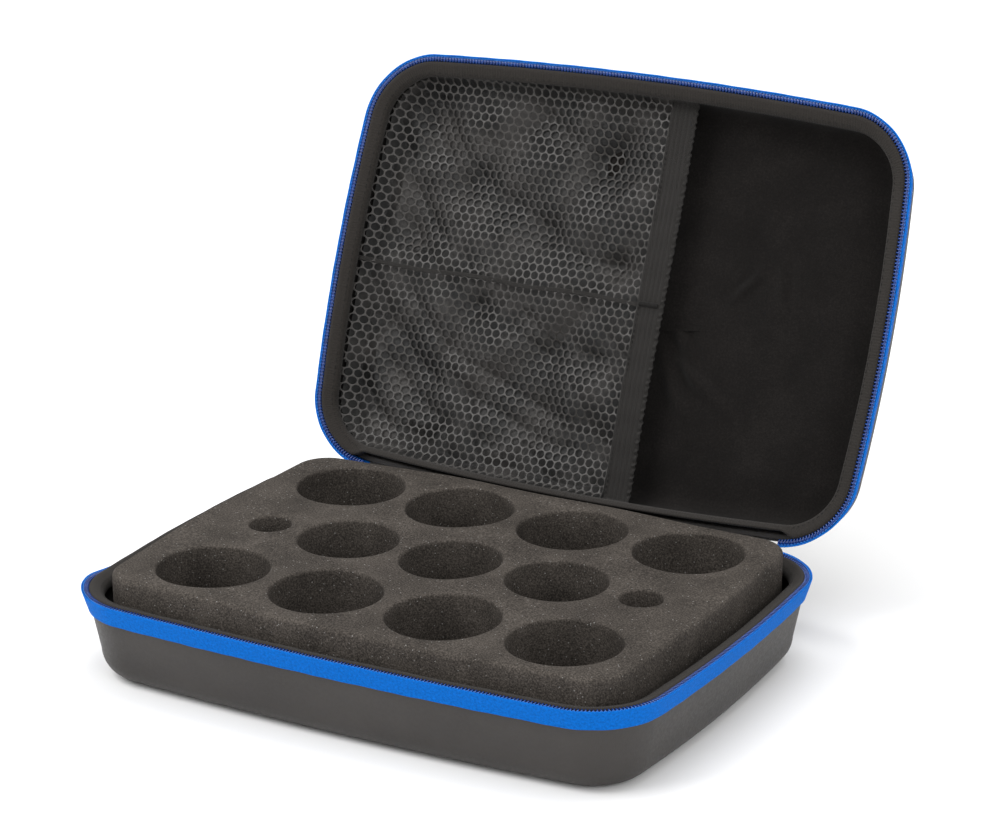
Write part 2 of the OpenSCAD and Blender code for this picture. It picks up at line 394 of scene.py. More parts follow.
def weaveOn(finish, vector, pitchU, pitchV):  # crossing threads as a height
    split = node(finish, "ShaderNodeSeparateXYZ")
    join(finish, vector, split.inputs[0])
    across = wavesOn(finish, split.outputs[0], pitchU)
    down = wavesOn(finish, split.outputs[1], pitchV)
    return sums(finish, "MULTIPLY", across, down)


def herringboneOn(finish, vector, column, pitch):
    split = node(finish, "ShaderNodeSeparateXYZ")
    join(finish, vector, split.inputs[0])
    zigzag = sums(finish, "PINGPONG", split.outputs[1], column * mm)
    slant = sums(finish, "ADD", split.outputs[0], zigzag)
    return wavesOn(finish, slant, pitch)


def shellFinish():
    look = {"colour": (0.033, 0.0295, 0.027), "roughness": 0.5, "grain": 0.55, "mottle": 26.0}
    finish = finishOf("shellSkin", look["colour"], look["roughness"], Specular_IOR_Level=0.3)
    spot = placeOn(finish)
    grain = cellsOn(finish, spot, look["grain"])
    fine = noiseOn(finish, spot, 0.35, 4)
    mottle = noiseOn(finish, spot, look["mottle"], 2)
    spread(finish, mottle, shades(look["colour"], (0.3, 0.9), (0.7, 1.1)))
    spread(finish, noiseOn(finish, spot, 1.4, 5), [(0.3, 0.44), (0.7, 0.58)], "Roughness")
    relief(finish, (grain, 0.035), (fine, 0.02))
    return finish


def foamFinish(name, colour, cell, deep, glintSize, glintReach):
    finish = finishOf(name, colour, 0.95, Specular_IOR_Level=0.12)
    spot = placeOn(finish)
    cells = cellsOn(finish, spot, cell)
    pores = noiseOn(finish, spot, cell * 0.7, 5, 0.7)
    cloud = noiseOn(finish, spot, 18, 3)
    # paintedGlints: sparse small spots pushed to light grey in the colour, a painted highlight standing in for
    # glints in the foam cells
    paintedGlints = sums(finish, "LESS_THAN", cellsOn(finish, spot, glintSize), glintReach)
    tone = sums(finish, "ADD", sums(finish, "MULTIPLY", pores, 0.8), sums(finish, "MULTIPLY", cloud, 0.2))
    tone = sums(finish, "ADD", tone, sums(finish, "MULTIPLY", paintedGlints, 0.4))
    stops = shades(colour, (0.38, 0.4), (0.5, 1.0), (0.6, 1.75))
    # the light grey stop at 0.9 is the colour of the painted glints
    stops.append((0.9, (0.2, 0.195, 0.185)))
    spread(finish, tone, stops)
    relief(finish, (cells, deep), (pores, deep * 0.8))
    return finish


def tapeFinish():
    look = {"colour": (0.0, 0.115, 0.47), "roughness": 0.75, "column": 0.8, "pitch": 0.45}
    finish = finishOf("zipTapeWeave", look["colour"], look["roughness"], Specular_IOR_Level=0.08)
    spot = placeOn(finish, cloth=True)
    rows = herringboneOn(finish, spot, look["column"], look["pitch"])
    mottle = noiseOn(finish, spot, 1.1, 5, 0.7)
    level = sums(finish, "ADD", sums(finish, "MULTIPLY", rows, 0.1), mottle)
    spread(finish, level, shades(look["colour"], (0.3, 0.68), (0.5, 1.0), (0.72, 1.35)))
    relief(finish, (rows, 0.04), (noiseOn(finish, spot, 0.4, 3), 0.05))
    return finish


def coilFinish():
    finish = finishOf("coilNylon", (0.0, 0.025, 0.16), 0.22, Specular_IOR_Level=0.6)
    spot = placeOn(finish)
    spread(finish, noiseOn(finish, spot, 3.0, 3), [(0.3, (0.0, 0.016, 0.11)), (0.7, (0.0, 0.04, 0.23))])
    relief(finish, (noiseOn(finish, spot, 0.5, 3), 0.02))
    return finish


def ribbonFinish():
    look = {"colour": (0.019, 0.0162, 0.014), "roughness": 0.85}
    gloss = {"Specular_IOR_Level": 0.2, "Sheen_Weight": 0.06}
    finish = finishOf("bindingRibbon", look["colour"], look["roughness"], **gloss)
    spot = placeOn(finish, cloth=True)
    threads = weaveOn(finish, spot, 0.5, 0.42)
    fuzz = noiseOn(finish, spot, 0.6, 5, 0.7)
    spread(finish, fuzz, shades(look["colour"], (0.3, 0.6), (0.5, 1.0), (0.72, 1.7)))
    relief(finish, (threads, 0.05), (noiseOn(finish, spot, 0.3, 3), 0.05))
    return finish


def liningFinish():
    look = {"colour": (0.0072, 0.0063, 0.0058), "roughness": 0.95}
    gloss = {"Specular_IOR_Level": 0.1, "Sheen_Weight": 0.05}
    finish = finishOf("liningJersey", look["colour"], look["roughness"], **gloss)
    spot = placeOn(finish)
    fuzz = noiseOn(finish, spot, 0.9, 6, 0.75)
    cloud = noiseOn(finish, spot, 22, 3)
    tone = sums(finish, "ADD", sums(finish, "MULTIPLY", fuzz, 0.7), sums(finish, "MULTIPLY", cloud, 0.3))
    spread(finish, tone, shades(look["colour"], (0.3, 0.5), (0.5, 1.0), (0.7, 2.1)))
    relief(finish, (fuzz, 0.12), (noiseOn(finish, spot, 0.35, 3), 0.06))
    return finish


def backingFinish():
    look = {"colour": (0.023, 0.0207, 0.019), "roughness": 0.5}
    gloss = {"Specular_IOR_Level": 0.4, "Sheen_Weight": 0.05}
    finish = finishOf("pocketNylon", look["colour"], look["roughness"], **gloss)
    spot = placeOn(finish, cloth=True)
    threads = weaveOn(finish, spot, 0.7, 0.7)
    fleck = sums(finish, "MULTIPLY", noiseOn(finish, spot, 0.8, 5, 0.7), 0.2)
    # sheenShadeAndFleck: large 24 mm patches running from near black to light are painted sheen and shade on
    # the nylon; the fine fleck is the cloth's own tone
    sheenShadeAndFleck = sums(finish, "ADD", sums(finish, "MULTIPLY", noiseOn(finish, spot, 24, 2), 0.8), fleck)
    spread(finish, sheenShadeAndFleck, shades(look["colour"], (0.44, 0.12), (0.52, 0.55), (0.62, 1.25)))
    relief(finish, (threads, 0.06), (noiseOn(finish, spot, 2.5, 3), 0.15))
    return finish


def netFinish():
    finish = finishOf("netThread", (0.02, 0.0185, 0.017), 0.4, Specular_IOR_Level=0.35, Sheen_Weight=0.08)
    spot = placeOn(finish)
    threads = noiseOn(finish, spot, 0.35, 4, 0.7)
    steps = [(0.3, (0.012, 0.011, 0.01)), (0.55, (0.035, 0.032, 0.029)), (0.75, (0.11, 0.1, 0.095))]
    spread(finish, threads, steps)
    relief(finish, (threads, 0.06))
    return finish


def elasticFinish():
    gloss = {"Specular_IOR_Level": 0.2, "Sheen_Weight": 0.05}
    finish = finishOf("elasticWeave", (0.013, 0.0118, 0.0108), 0.75, **gloss)
    spot = placeOn(finish, cloth=True)
    threads = weaveOn(finish, spot, 0.9, 0.7)
    fuzz = noiseOn(finish, spot, 0.5, 5, 0.7)
    steps = [(0.3, (0.006, 0.0055, 0.005)), (0.5, (0.013, 0.0118, 0.0108)), (0.7, (0.032, 0.029, 0.0265))]
    spread(finish, fuzz, steps)
    relief(finish, (threads, 0.07), (fuzz, 0.05))
    return finish


def clothFinish():
    finish = finishOf("hingeCloth", (0.018, 0.017, 0.016), 0.85, Sheen_Weight=0.2, Sheen_Roughness=0.4)
    spot = placeOn(finish, cloth=True)
    threads = weaveOn(finish, spot, 0.8, 0.8)
    fuzz = noiseOn(finish, spot, 0.7, 5, 0.7)
    spread(finish, fuzz, [(0.3, (0.01, 0.0095, 0.009)), (0.7, (0.032, 0.03, 0.028))])
    relief(finish, (threads, 0.08))
    return finish


def metalFinish(name, colour, roughness):
    finish = finishOf(name, colour, roughness, Metallic=1.0)
    spot = placeOn(finish)
    wear = noiseOn(finish, spot, 1.2, 5, 0.7)
    spread(finish, wear, shades(colour, (0.3, 0.75), (0.6, 1.0), (0.8, 1.5)))
    dulled = [(0.3, roughness * 0.8), (0.7, min(1.0, roughness * 1.3))]
    spread(finish, noiseOn(finish, spot, 0.5, 4), dulled, "Roughness")
    relief(finish, (wear, 0.02))
    return finish


def pullFinish():
    finish = finishOf("pullLeather", (0.02, 0.019, 0.018), 0.5)
    spot = placeOn(finish)
    spread(finish, noiseOn(finish, spot, 1.0, 4), [(0.3, (0.014, 0.013, 0.012)), (0.7, (0.03, 0.028, 0.026))])
    relief(finish, (cellsOn(finish, spot, 0.6), 0.04))
    return finish


def threadFinish(name, colour):
    finish = finishOf(name, colour, 0.7, Specular_IOR_Level=0.2, Sheen_Weight=0.05)
    spot = placeOn(finish)
    twist = noiseOn(finish, spot, 0.3, 3)
    spread(finish, twist, shades(colour, (0.3, 0.6), (0.7, 1.4)))
    relief(finish, (twist, 0.03))
    return finish


finishes = {
    "shell": shellFinish(),
    "foamTop": foamFinish("foamSkin", (0.046, 0.0398, 0.0345), 1.0, 0.12, 2.6, 0.1),
    # foamCutShaded: the foam's walls, wells and sides get a far darker colour than its top; partly the coarser
    # cut cells, partly painted shade for the deep wells and the sides
    "foamCutShaded": foamFinish("foamCutCellsShaded", (0.0088, 0.0076, 0.007), 1.5, 0.6, 2.0, 0.2),
    "tape": tapeFinish(),
    "coil": coilFinish(),
    "ribbon": ribbonFinish(),
    "lining": liningFinish(),
    "backing": backingFinish(),
    "net": netFinish(),
    "elastic": elasticFinish(),
    "cloth": clothFinish(),
    "slider": metalFinish("sliderMetal", (0.06, 0.06, 0.065), 0.35),
    "stop": metalFinish("stopMetal", (0.45, 0.45, 0.46), 0.35),
    "pull": pullFinish(),
    "thread": threadFinish("sewingThread", (0.008, 0.0072, 0.0066)),
    "blueThread": threadFinish("blueThread", (0.03, 0.17, 0.56)),
}
print("finishes made:", len(finishes))


# moulded shells and their linings
def floorSide(deep):
    wall = deep - case["floorRound"] - case["wallFoot"]
    return case["wallIn"] + wall * math.tan(math.radians(case["draft"]))


def skinProfile(deep, offset, steps):  # from the wall down into the floor
    radius = case["floorRound"] - offset
    side = floorSide(deep) + case["floorRound"]
    out = []
    for i in range(steps + 1):
        a = math.radians(90 * i / steps)
        out.append([side - radius * math.cos(a), deep - case["floorRound"] + radius * math.sin(a)])
    return out


def buildShell(name, deep, lid, body, stands):
    look = {"columns": 360, "rounding": 10, "floorInset": 40.0, "edge": 0.6}
    outer = skinProfile(deep, 0, look["rounding"])[::-1]
    wall = [[case["wallIn"], case["wallFoot"]], [case["wallIn"] - 0.2, case["wallFoot"] - 1.6]]
    rim = softened([wall[-1], [case["rimIn"], case["wallTop"]],
                    [case["rimIn"] + case["shell"], case["wallTop"]],
                    [case["wallIn"] + case["shell"], case["wallFoot"]]], look["edge"], 3, closed=False)
    inner = skinProfile(deep, case["shell"], look["rounding"])
    profile = [[look["floorInset"], deep]] + outer + [wall[0]] + [list(p) for p in rim] + inner
    profile.append([look["floorInset"], deep - case["shell"]])
    mesh = sweepRim(name, dense(profile, 4.0), look["columns"], lid=lid)
    return piece(name, mesh, body, [finishes["shell"]], stands)


buildShell("baseShell", case["zipHeight"], False, "base", ["lower_shell"])
buildShell("lidShell", case["lidDepth"], True, "lid", ["lid_shell"])
print("shells made")


creases = [  # soft dents in the lid's lining: x, y, turn, length, width, depth
    (66, -22, 35, 9, 4, 1.8),
    (58, -14, -50, 8, 3.5, 1.5),
    (76, -16, 80, 9, 3.5, 1.7),
    (36, 18, 60, 13, 4, 2.4),
    (44, 30, 35, 15, 4, 2.2),
    (34, 36, 60, 16, 5, 2.6),
]


def liningRelief(x, y):
    deep = 0.5 * np.sin(x / 23 + 0.6) * np.sin(y / 31 + 1.1) + 0.25 * np.sin(x / 9 + y / 14)
    for cx, cy, turn, length, width, drop in creases:
        c = math.cos(math.radians(turn))
        s = math.sin(math.radians(turn))
        lengthwise = (x - cx) * c + (y - cy) * s
        sideways = (y - cy) * c - (x - cx) * s
        fade = np.exp(-(lengthwise / length) ** 2)
        deep = deep + drop * fade * np.exp(-(sideways / width) ** 2) * np.sin(sideways / width * 1.6 + 0.7)
    return deep


restingSpots = [  # x, y, width, height
    (-104, -42, 15, 30),
    (-58, -38, 20, 20),
    (-100, 44, 14, 26),
    (-40, 46, 22, 18),
    (-14, -60, 12, 20),
]


def resting(x, y):  # where the net lies against the padded lining
    return sum(np.exp(-((x - cx) / wide) ** 2 - ((y - cy) / tall) ** 2) for cx, cy, wide, tall in restingSpots)


def buildLining(name, deep, lid, body, stands, inward, columns):
    look = {"gap": 2.75, "cloth": 0.7, "rounding": 8, "outerInset": 34.0}
    out = look["gap"]
    inn = look["gap"] + look["cloth"]
    profile = [[look["outerInset"], deep - out]] + skinProfile(deep, out, look["rounding"])[::-1]
    profile += [[case["wallIn"] + out, case["wallFoot"]], [case["rimIn"] + out, case["wallTop"]]]
    profile += [[case["rimIn"] + inn, case["wallTop"]], [case["wallIn"] + inn, case["wallFoot"]]]
    rows = dense(profile, 4.0)
    turned = len(rows)
    inner = skinProfile(deep, inn, look["rounding"]) + [[inward, deep - inn]]
    rows = np.vstack([rows, dense(inner, 1.6 if lid else 6.0)])

    def shape(along, row, inset, depth):
        if not lid:
            return inset, depth
        x, y = rimXY(along, inset)
        fade = smooth((inset - 16) / 14) * (row >= turned)
        padding = 2.2 * resting(x, y) * smooth((6 - x) / 12)
        return inset, depth - fade * (0.9 + liningRelief(x, y) + padding)

    mesh = sweepRim(name, rows, columns, lid=lid, shape=shape)
    return piece(name, mesh, body, [finishes["lining"]], stands)


baseLining = buildLining("baseLining", case["zipHeight"], False, "base", ["lower_lining"], 40.0, 300)
lidLining = buildLining("lidLining", case["lidDepth"], True, "lid", ["lid_lining"], 86.0, 520)
print("linings made")


# ribbed ribbon round the rims
def buildBinding(name, lid, body, stands):
    look = {"rib": 1.3, "ribHeight": 0.17, "columns": 2620, "rounding": 0.9}
    section = [[3.3, 0.6], [4.6, 0.3], [8.4, 1.9], [9.3, 3.3], [9.3, 5.3], [8.7, 5.7], [3.4, 5.2]]
    profile = dense(softened(section, look["rounding"], 2), 1.1)
    normal = outwards(profile)
    back = (case["halfWidth"] - case["corner"]) / rimLength

    def shape(along, row, inset, depth):
        away = np.minimum(along, 1 - along) * rimLength
        narrow = smooth((back * rimLength + 9 - away) / 9)
        tuck = 6.8 + (inset - 3.2) * 0.42
        moved = inset + (np.maximum(tuck, inset) - inset) * narrow
        ribs = np.abs(np.sin(math.pi * along * rimLength / look["rib"])) * look["ribHeight"]
        wander = 0.1 * np.sin(along * rimLength / 7.3) + 0.07 * np.sin(along * rimLength / 2.9 + 1)
        return moved + normal[row, 0] * ribs, depth + normal[row, 1] * ribs + wander * 0.6

    mesh = sweepRim(name, profile, look["columns"], lid=lid, shape=shape)
    return piece(name, mesh, body, [finishes["ribbon"]], stands)


def sagOf(along, lid):  # the soft zip droops along the left side of the base
    if lid:
        return 0.0
    x, y = rimXY(along, 0.0)
    return 3.3 * smooth((-x - 104) / 20) * smooth((y + 72) / 30)


def buildStitches(name, lid, body, inset, depth, length, pitch, finish, start, stop):
    reach = (stop - start) * rimLength
    count = int(reach / pitch)
    half = length / 2
    path = [(-half, 0, 0.5), (-half * 0.6, 0, -0.1), (0, 0, -0.2), (half * 0.6, 0, -0.1), (half, 0, 0.5)]
    template = wire(name + "Thread", path, 0.16, 5)

    def place(points, number):
        along = start + (stop - start) * (number + 0.5) / count + points[:, 0] / rimLength
        droop = sagOf(along, lid) if inset < 2 else 0.0
        return rimPlace(along, inset + points[:, 1], depth + points[:, 2] + droop, lid)

    return piece(name, repeated(name, template, count, place), body, [finishes[finish]])


buildBinding("baseBinding", False, "base", ["lower_binding"])
buildBinding("lidBinding", True, "lid", ["lid_binding"])
zipEnd = 1 - zipStart
for label, lid, body in (("base", False, "base"), ("lid", True, "lid")):
        buildStitches(label + "InnerStitches", lid, body, 8.0, 1.75, 2.2, 3.1, "thread", zipStart, zipEnd)
print("bindings made")


# zip: woven tape and nylon coil
def buildTape(name, lid, body, stands):
    look = {"columns": 1300, "ripple": 0.08}
    section = [[0.0, 0.35], [0.65, 0.3], [3.45, 8.7], [3.3, 9.2], [2.6, 9.05], [2.4, 8.3]]
    profile = dense(softened(section, 0.3, 2), 1.2)

    def shape(along, row, inset, depth):
        run = along * rimLength
        low = smooth((depth - 4) / 6)
        wave = look["ripple"] * (np.sin(run / 5.1) + np.sin(run / 2.3 + 1.7))
        droop = sagOf(along, lid) * np.clip(1 - depth / 9, 0, 1)
        return inset - wave * (1 - low) * 0.5, depth + wave * low * 0.8 + droop

    mesh = sweepRim(name, profile, look["columns"], zipStart, zipEnd, lid, shape)
    return piece(name, mesh, body, [finishes["tape"]], stands)


def buildCoil(name, lid, body, stands):
    look = {"pitch": 1.5, "filament": 0.37, "sides": 6, "coreColumns": 900}
    count = int((zipEnd - zipStart) * rimLength / look["pitch"])
    path = [(-0.1, 1.1, 1.3), (-0.12, 1.35, 0.7), (-0.08, 2.1, 0.5), (0.0, 2.85, 0.62),
            (0.1, 3.12, 1.2), (0.2, 2.85, 1.78), (0.3, 2.1, 1.92), (0.4, 1.5, 1.75)]
    template = wire(name + "Loop", path, look["filament"], look["sides"])

    def place(points, number):
        along = zipStart + (zipEnd - zipStart) * (number + 0.5) / count + points[:, 0] / rimLength
        return rimPlace(along, points[:, 1], points[:, 2] + sagOf(along, lid), lid)

    teeth = repeated(name, template, count, place)

    def sagging(along, row, inset, depth):
        return inset, depth + sagOf(along, lid)

    cord = softened([[1.1, 0.85], [2.6, 0.85], [2.6, 1.65], [1.1, 1.65]], 0.3, 2)
    core = sweepRim(name + "Core", cord, look["coreColumns"], zipStart, zipEnd, lid, sagging)
    bm = bmesh.new()
    bm.from_mesh(teeth)
    bm.from_mesh(core)
    bm.to_mesh(teeth)
    bm.free()
    return piece(name, teeth, body, [finishes["coil"]], stands)


for label, lid, body, old in (("base", False, "base", "lower"), ("lid", True, "lid", "lid")):
    buildTape(label + "ZipTape", lid, body, [old + "_zip_tape"])
    buildCoil(label + "ZipCoil", lid, body, [old + "_zip_coil"])
    buildStitches(label + "ZipStitches", lid, body, 1.05, 0.55, 1.2, 1.5, "blueThread", zipStart, zipEnd)
print("zip made")


# foam insert
foam = {
    "halfWidth": 117.8,
    "halfDepth": 82.8,
    "corner": 13.0,
    "bow": (2.82, 4.9),
    "shift": 1.0,
    "wellShift": 2.0,
    "top": 48.0,
    "foot": 9.2,
    "sheetFoot": 4.2,
    "sheetNarrow": 8.0,
    "narrow": 2.2,
    "step": 24.0,
    "edge": 2.0,
    "wellEdge": 1.3,
}
wells = [(x * 55.0, y * 54.5, 23.5) for x in (-1.5, -0.5, 0.5, 1.5) for y in (-1, 1)]
wells += [(x * 50.0, 0.0, 21.5) for x in (-1, 0, 1)]
wells += [(x * 89.0, 0.0, 9.0) for x in (-1, 1)]
foamSize = (foam["halfWidth"], foam["halfDepth"], foam["corner"])


def foamXY(along, inset):
    x, y = outlineXY(along, inset, foamSize, foam["bow"], 8.0)
    return x + foam["shift"], y


def addWall(bm, columns, profile, loop, slotIndex):  # a wall round one closed loop
    rows = len(profile) - 1
    made = bmesh.ops.create_grid(bm, x_segments=columns, y_segments=rows, size=0.5)["verts"]
    flat = np.array([v.co for v in made])
    u = np.rint((flat[:, 0] + 0.5) * columns) / columns
    row = np.rint((flat[:, 1] + 0.5) * rows).astype(int)
    x, y = loop(u % 1.0, profile[row, 0])
    for v, spot in zip(made, np.column_stack([x, y, profile[row, 1]])):
        v.co = spot * mm
    for f in {f for v in made for f in v.link_faces}:
        f.material_index = slotIndex


def addLid(bm, loops, height, refine):  # a flat face round the wells
    edges = []
    for columns, loop in loops:
        made = bmesh.ops.create_circle(bm, cap_ends=False, radius=1, segments=columns)["verts"]
        u = np.arange(columns) / columns
        x, y = loop(u, np.zeros(columns))
        for v, sx, sy in zip(made, x, y):
            v.co = Vector((sx, sy, height)) * mm
        edges += list({e for v in made for e in v.link_edges})
    faces = [f for f in bmesh.ops.triangle_fill(bm, use_beauty=True, use_dissolve=False, edges=edges)["geom"]
             if isinstance(f, bmesh.types.BMFace)]
    for _ in range(refine):
        inside = {e for f in faces for e in f.edges if not e.is_boundary and len(e.link_faces) == 2}
        long = [e for e in inside if e.calc_length() > 7 * mm]
        if not long:
            break
        cut = bmesh.ops.subdivide_edges(bm, edges=long, cuts=1)["geom"]
        fresh = {g for g in cut if isinstance(g, bmesh.types.BMFace)} | {f for f in faces if f.is_valid}
        tris = bmesh.ops.triangulate(bm, faces=list(fresh))["faces"]
        faces = [f for f in tris if f.is_valid] + [f for f in fresh if f.is_valid]
        faces = list(set(faces))
        spans = list({e for f in faces for e in f.edges if len(e.link_faces) == 2})
        bmesh.ops.beautify_fill(bm, faces=faces, edges=spans)
        faces = list({f for e in spans if e.is_valid for f in e.link_faces})


def quarter(fromInset, fromHeight, edge, steps):
    out = []
    for i in range(steps + 1):
        a = math.radians(90 * i / steps)
        out.append([fromInset + edge * (1 - math.sin(a)), fromHeight - edge * (1 - math.cos(a))])
    return out


def foamWaver(points):  # the soft unevenness of cut foam
    x = points[:, 0]
    y = points[:, 1]
    z = points[:, 2]
    high = smooth((z - 30) / 15)
    lift = 0.35 * np.sin(x / 31 + 0.4) * np.cos(y / 27) + 0.22 * np.sin(x / 12 + y / 17) - 0.3
    sway = 0.3 * np.sin(x / 17 + z / 9) + 0.2 * np.sin(y / 13 - z / 7)
    out = points.copy()
    out[:, 2] += lift * high
    out[:, 1] += sway * 0.8 * high
    out[:, 0] += 0.3 * np.sin(y / 19 + z / 11) * high
    return out


def buildFoam():
    edge = foam["edge"]
    bm = bmesh.new()
    side = [[edge, foam["top"]]] + quarter(0, foam["top"], edge, 4)[1:]
    side += [[0.0, foam["step"] + 6], [0.6, foam["step"]]]
    side += [[foam["narrow"], foam["foot"] + 1.2], [foam["narrow"] + 1.2, foam["foot"]]]
    sideRows = dense(side, 2.5)
    addWall(bm, 320, sideRows, foamXY, 1)
    loopsTop = [(320, lambda u, w: foamXY(u, w + edge))]
    loopsFoot = [(320, lambda u, w: foamXY(u, w + foam["narrow"] + 1.2))]
    for cx, cy, radius in wells:
        columns = 96 if radius > 10 else 48
        rim = foam["wellEdge"]

        def circle(u, grow, cx=cx, cy=cy, radius=radius):
            a = 2 * math.pi * u
            return foam["wellShift"] + cx + (radius + grow) * np.cos(a), cy + (radius + grow) * np.sin(a)

        wall = [[rim * (1 - math.sin(math.radians(a))), foam["top"] - rim * (1 - math.cos(math.radians(a)))]
                for a in (0, 22.5, 45, 67.5, 90)]
        wall += [[0.0, foam["foot"]]]
        addWall(bm, columns, dense(wall, 3.5), circle, 1)
        loopsTop.append((columns, lambda u, w, circle=circle, rim=rim: circle(u, w + rim)))
        loopsFoot.append((columns, circle))
    addLid(bm, loopsTop, foam["top"], 5)
    addLid(bm, loopsFoot, foam["foot"], 0)
    bmesh.ops.remove_doubles(bm, verts=bm.verts, dist=2e-6)
    bmesh.ops.recalc_face_normals(bm, faces=bm.faces)
    mesh = bpy.data.meshes.new("foamInsert")
    bm.to_mesh(mesh)
    bm.free()
    flat = np.empty(len(mesh.vertices) * 3)
    mesh.vertices.foreach_get("co", flat)
    mesh.vertices.foreach_set("co", (foamWaver(flat.reshape(-1, 3) / mm) * mm).ravel())
    # the walls and wells take the darker cut-foam colour, which carries painted shade
    looks = [finishes["foamTop"], finishes["foamCutShaded"]]
    made = piece("foamInsert", mesh, "base", looks, ["foam_insert"])
    sheetEdge = 0.8
    bm = bmesh.new()
    sheet = quarter(foam["sheetNarrow"], foam["foot"], sheetEdge, 3)
    sheet += [[foam["sheetNarrow"], foam["sheetFoot"] + 0.8], [foam["sheetNarrow"] + 0.8, foam["sheetFoot"]]]
    addWall(bm, 240, dense(sheet, 2.5), foamXY, 0)
    bmesh.ops.remove_doubles(bm, verts=bm.verts, dist=2e-6)
    bmesh.ops.holes_fill(bm, edges=[e for e in bm.edges if e.is_boundary], sides=0)
    bmesh.ops.recalc_face_normals(bm, faces=bm.faces)
    mesh = bpy.data.meshes.new("foamBaseSheet")
    bm.to_mesh(mesh)
    bm.free()
    under = piece("foamBaseSheet", mesh, "base", [finishes["foamCutShaded"]], ["foam_base_sheet"])


buildFoam()
print("foam made")


# pocket: two net panels, the seam between them and the elastic at their mouth
pocket = {
    "right": 26.0,
    "elastic": 13.0,
    "seamY": 1.5,
    "depth": 10.2,
    "rimDepth": 6.3,
    "edge": 8.2,
}


def netDepth(x, y):
    rim = insetAt(x, y) - pocket["edge"]
    outside = np.maximum(0.8 - insetAt(x - foam["shift"], y, foamSize, foam["bow"]), 0)
    rise = smooth(rim / np.maximum(rim + outside, 0.01))
    base = pocket["rimDepth"] + (pocket["depth"] + 0.3 - pocket["rimDepth"]) * rise
    calm = smooth(rim / 22) * smooth((pocket["right"] - pocket["elastic"] + 2 - x) / 16)
    calm = calm * (0.35 + 0.65 * smooth(np.abs(y - pocket["seamY"]) / 14))
    wx = x + 9 * np.sin(y / 31 + 1.3) + 4 * np.sin(y / 13 + x / 47)
    wy = y + 8 * np.sin(x / 27 + 0.4) + 3 * np.sin(x / 11)
    wide = (1 - np.abs(np.sin(wx / 17 + wy / 29))) ** 1.3
    cross = (1 - np.abs(np.sin(wy / 14 - wx / 33 + 0.9))) ** 1.3
    slant = (1 - np.abs(np.sin(wx / 23 - wy / 12 + 2.1))) ** 1.6
    fine = np.sin(wx / 5.3 + wy / 8.1) * np.sin(wy / 6.1)
    fold = 3.6 * wide + 3.0 * cross + 2.4 * slant + 0.9 * fine + 3.5 * resting(x, y)
    mouth = smooth(1 - np.abs(x - (pocket["right"] - pocket["elastic"])) / 14)
    gather = mouth * 0.7 * np.sin(y / 1.9 + np.sin(x / 5))
    return base + calm * np.clip(fold, 0, 9.2) + np.maximum(gather, 0) * smooth(rim / 8)


def netPlace(x, y, lift=0.0):
    flat = np.column_stack([x, y, case["zipHeight"] + netDepth(x, y) + lift])
    return openLid(flat)


def buildNet(name, low, high, stands):
    look = {"pitch": 4.1, "strand": 0.2, "thick": 0.26}
    side = look["pitch"] / math.sqrt(3)
    left = -130.0
    right = pocket["right"] - pocket["elastic"] + 1.5
    columns = int((right - left) / (look["pitch"] / 2))
    rows = int((high - low) / (1.5 * side)) + 1
    bm = bmesh.new()
    made = bmesh.ops.create_grid(bm, x_segments=columns, y_segments=rows, size=0.5)["verts"]
    place = {}
    for v in made:
        place[v] = (round((v.co.x + 0.5) * columns), round((v.co.y + 0.5) * rows))
    odd = []
    for e in bm.edges:
        (i, j), (k, m) = place[e.verts[0]], place[e.verts[1]]
        if i == k and (i + min(j, m)) % 2 == 1 and 0 < i < columns:
            odd.append(e)
    for v, (i, j) in place.items():
        lift = side / 4 if (i + j) % 2 == 0 else -side / 4
        v.co = Vector((left + i * look["pitch"] / 2, low + j * 1.5 * side + lift, 0))
    bmesh.ops.dissolve_edges(bm, edges=odd, use_verts=False, use_face_split=False)
    gone = []
    for f in bm.faces:
        c = f.calc_center_median()
        if insetAt(np.array([c.x]), np.array([c.y]))[0] < pocket["edge"] - 0.6:
            gone.append(f)
    bmesh.ops.delete(bm, geom=gone, context="FACES")
    holes = list(bm.faces)
    bmesh.ops.inset_individual(bm, faces=holes, thickness=look["strand"], use_even_offset=True)
    bmesh.ops.delete(bm, geom=holes, context="FACES_ONLY")
    loose = [v for v in bm.verts if not v.link_faces]
    bmesh.ops.delete(bm, geom=loose, context="VERTS")
    mesh = bpy.data.meshes.new(name)
    bm.to_mesh(mesh)
    bm.free()
    flat = np.empty(len(mesh.vertices) * 3)
    mesh.vertices.foreach_get("co", flat)
    mesh.vertices.foreach_set("co", (netPlace(flat[0::3], flat[1::3]) * mm).ravel())
    bm = bmesh.new()
    bm.from_mesh(mesh)
    bmesh.ops.recalc_face_normals(bm, faces=bm.faces)
    bmesh.ops.solidify(bm, geom=bm.faces, thickness=look["thick"] * mm)
    bmesh.ops.recalc_face_normals(bm, faces=bm.faces)
    bm.to_mesh(mesh)
    bm.free()
    net = piece(name, mesh, "lid", [finishes["net"]], stands)
    rounding = net.modifiers.new("rounding", "SUBSURF")
    rounding.levels = 1
    rounding.render_levels = 1


